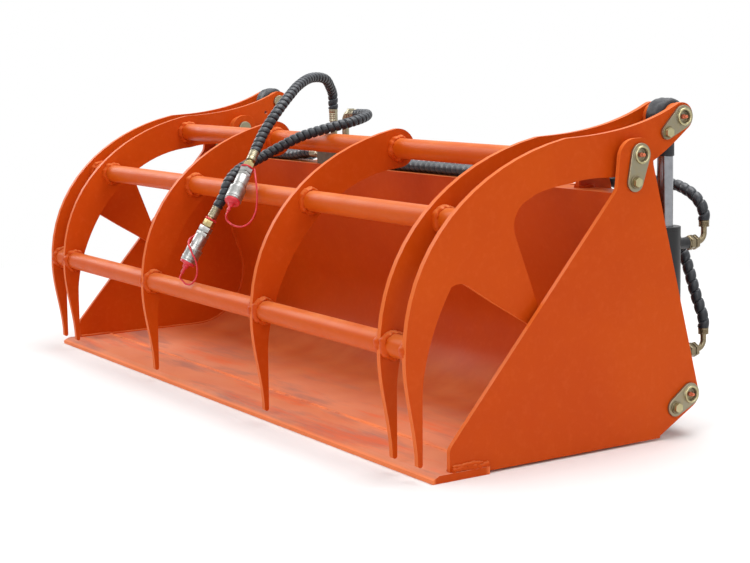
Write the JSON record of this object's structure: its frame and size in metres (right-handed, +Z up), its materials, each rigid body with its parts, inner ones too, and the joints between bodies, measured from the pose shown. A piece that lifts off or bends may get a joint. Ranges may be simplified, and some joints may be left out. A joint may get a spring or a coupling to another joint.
{
  "type": "grapple bucket",
  "caption": "Loader bucket with a hydraulic grapple: curved tines on cross tubes, turned by a cylinder at each end, with hoses, quick couplers and rear hitch brackets.",
  "frame": {"origin": "middle of the flat underside of the cutting edge, on the ground", "axes": "+X across the bucket, -Y out of its mouth, +Z up"},
  "size_m": [1.83, 0.7862, 0.7293],
  "materials": {
    "orange_paint": "satin orange paint",
    "black_paint": "satin black paint",
    "chrome": "hard chrome, polished",
    "steel": "turned steel",
    "zinc": "yellowish zinc plate, dull",
    "bright_zinc": "bright zinc plate",
    "hose_rubber": "black spiral hose guard",
    "red_plastic": "soft red plastic",
    "nipple_red": "painted over"
  },
  "bodies": {
    "bucket": {"bucket_sheet": "orange_paint", "cutting_edge": "orange_paint", "side_plate_left": "orange_paint", "side_plate_right": "orange_paint", "inner_plate_left": "orange_paint", "inner_plate_right": "orange_paint", "rear_beam": "orange_paint", "hitch_bracket_left": "orange_paint", "hitch_bracket_right": "orange_paint", "pivot_pin_left": "zinc", "pivot_pin_right": "zinc", "barrel_pin_left": "zinc", "barrel_pin_right": "zinc", "keeper_bolts": "zinc", "grease_nipples": "nipple_red", "hose_block": "zinc", "block_fittings": "zinc", "gland_hose_left": "hose_rubber", "gland_hose_right": "hose_rubber", "base_hose_left": "hose_rubber", "base_hose_right": "hose_rubber", "supply_hose_1": "hose_rubber", "supply_hose_2": "hose_rubber"},
    "grapple": {"outer_tine_left": "orange_paint", "outer_tine_right": "orange_paint", "inner_tine_left": "orange_paint", "inner_tine_right": "orange_paint", "middle_tine_left": "orange_paint", "middle_tine_right": "orange_paint", "lower_cross_tube": "orange_paint", "middle_cross_tube": "orange_paint", "upper_cross_tube": "orange_paint", "pivot_sleeve_left": "orange_paint", "pivot_sleeve_right": "orange_paint", "rod_pin_left": "zinc", "rod_pin_right": "zinc", "arm_keeper_bolts": "zinc", "arm_grease_nipples": "nipple_red", "coupler_1": "bright_zinc", "coupler_2": "bright_zinc", "dust_plug_1": "red_plastic", "dust_plug_2": "red_plastic", "lanyard_1": "red_plastic", "lanyard_2": "red_plastic"},
    "barrel_left": {"barrel_left": "black_paint", "gland_left": "black_paint", "rod_seal_left": "hose_rubber", "port_fittings_left": "zinc"},
    "rod_left": {"rod_left": "chrome", "rod_eye_left": "black_paint", "piston_left": "steel"},
    "barrel_right": {"barrel_right": "black_paint", "gland_right": "black_paint", "rod_seal_right": "hose_rubber", "port_fittings_right": "zinc"},
    "rod_right": {"rod_right": "chrome", "rod_eye_right": "black_paint", "piston_right": "steel"}
  },
  "joints": [
    {"name": "grapple_pivot", "type": "hinge", "parent": "bucket", "child": "grapple", "pos_m": [0, 0.431, 0.571], "axis": [-1, 0, 0], "range_deg": [0, 56], "deforming": ["supply_hose_1", "supply_hose_2"]},
    {"name": "barrel_left_pivot", "type": "hinge", "parent": "bucket", "child": "barrel_left", "pos_m": [-0.828, 0.56, 0.085], "axis": [-1, 0, 0], "range_deg": [-0.186, 0], "deforming": ["gland_hose_left", "base_hose_left"]},
    {"name": "rod_left_slide", "type": "slide", "parent": "barrel_left", "child": "rod_left", "axis": [0, 0, 1], "range_m": [-0.1365, 0]},
    {"name": "barrel_right_pivot", "type": "hinge", "parent": "bucket", "child": "barrel_right", "pos_m": [0.828, 0.56, 0.085], "axis": [-1, 0, 0], "range_deg": [-0.186, 0], "deforming": ["gland_hose_right", "base_hose_right"]},
    {"name": "rod_right_slide", "type": "slide", "parent": "barrel_right", "child": "rod_right", "axis": [0, 0, 1], "range_m": [-0.1365, 0]}
  ],
  "couplings": [
    {"joint": "barrel_left_pivot", "follows": "grapple_pivot", "ratio": -0.00324},
    {"joint": "rod_left_slide", "follows": "grapple_pivot", "m_per_rad": -0.13964},
    {"joint": "barrel_right_pivot", "follows": "grapple_pivot", "ratio": -0.00324},
    {"joint": "rod_right_slide", "follows": "grapple_pivot", "m_per_rad": -0.13964}
  ]
}
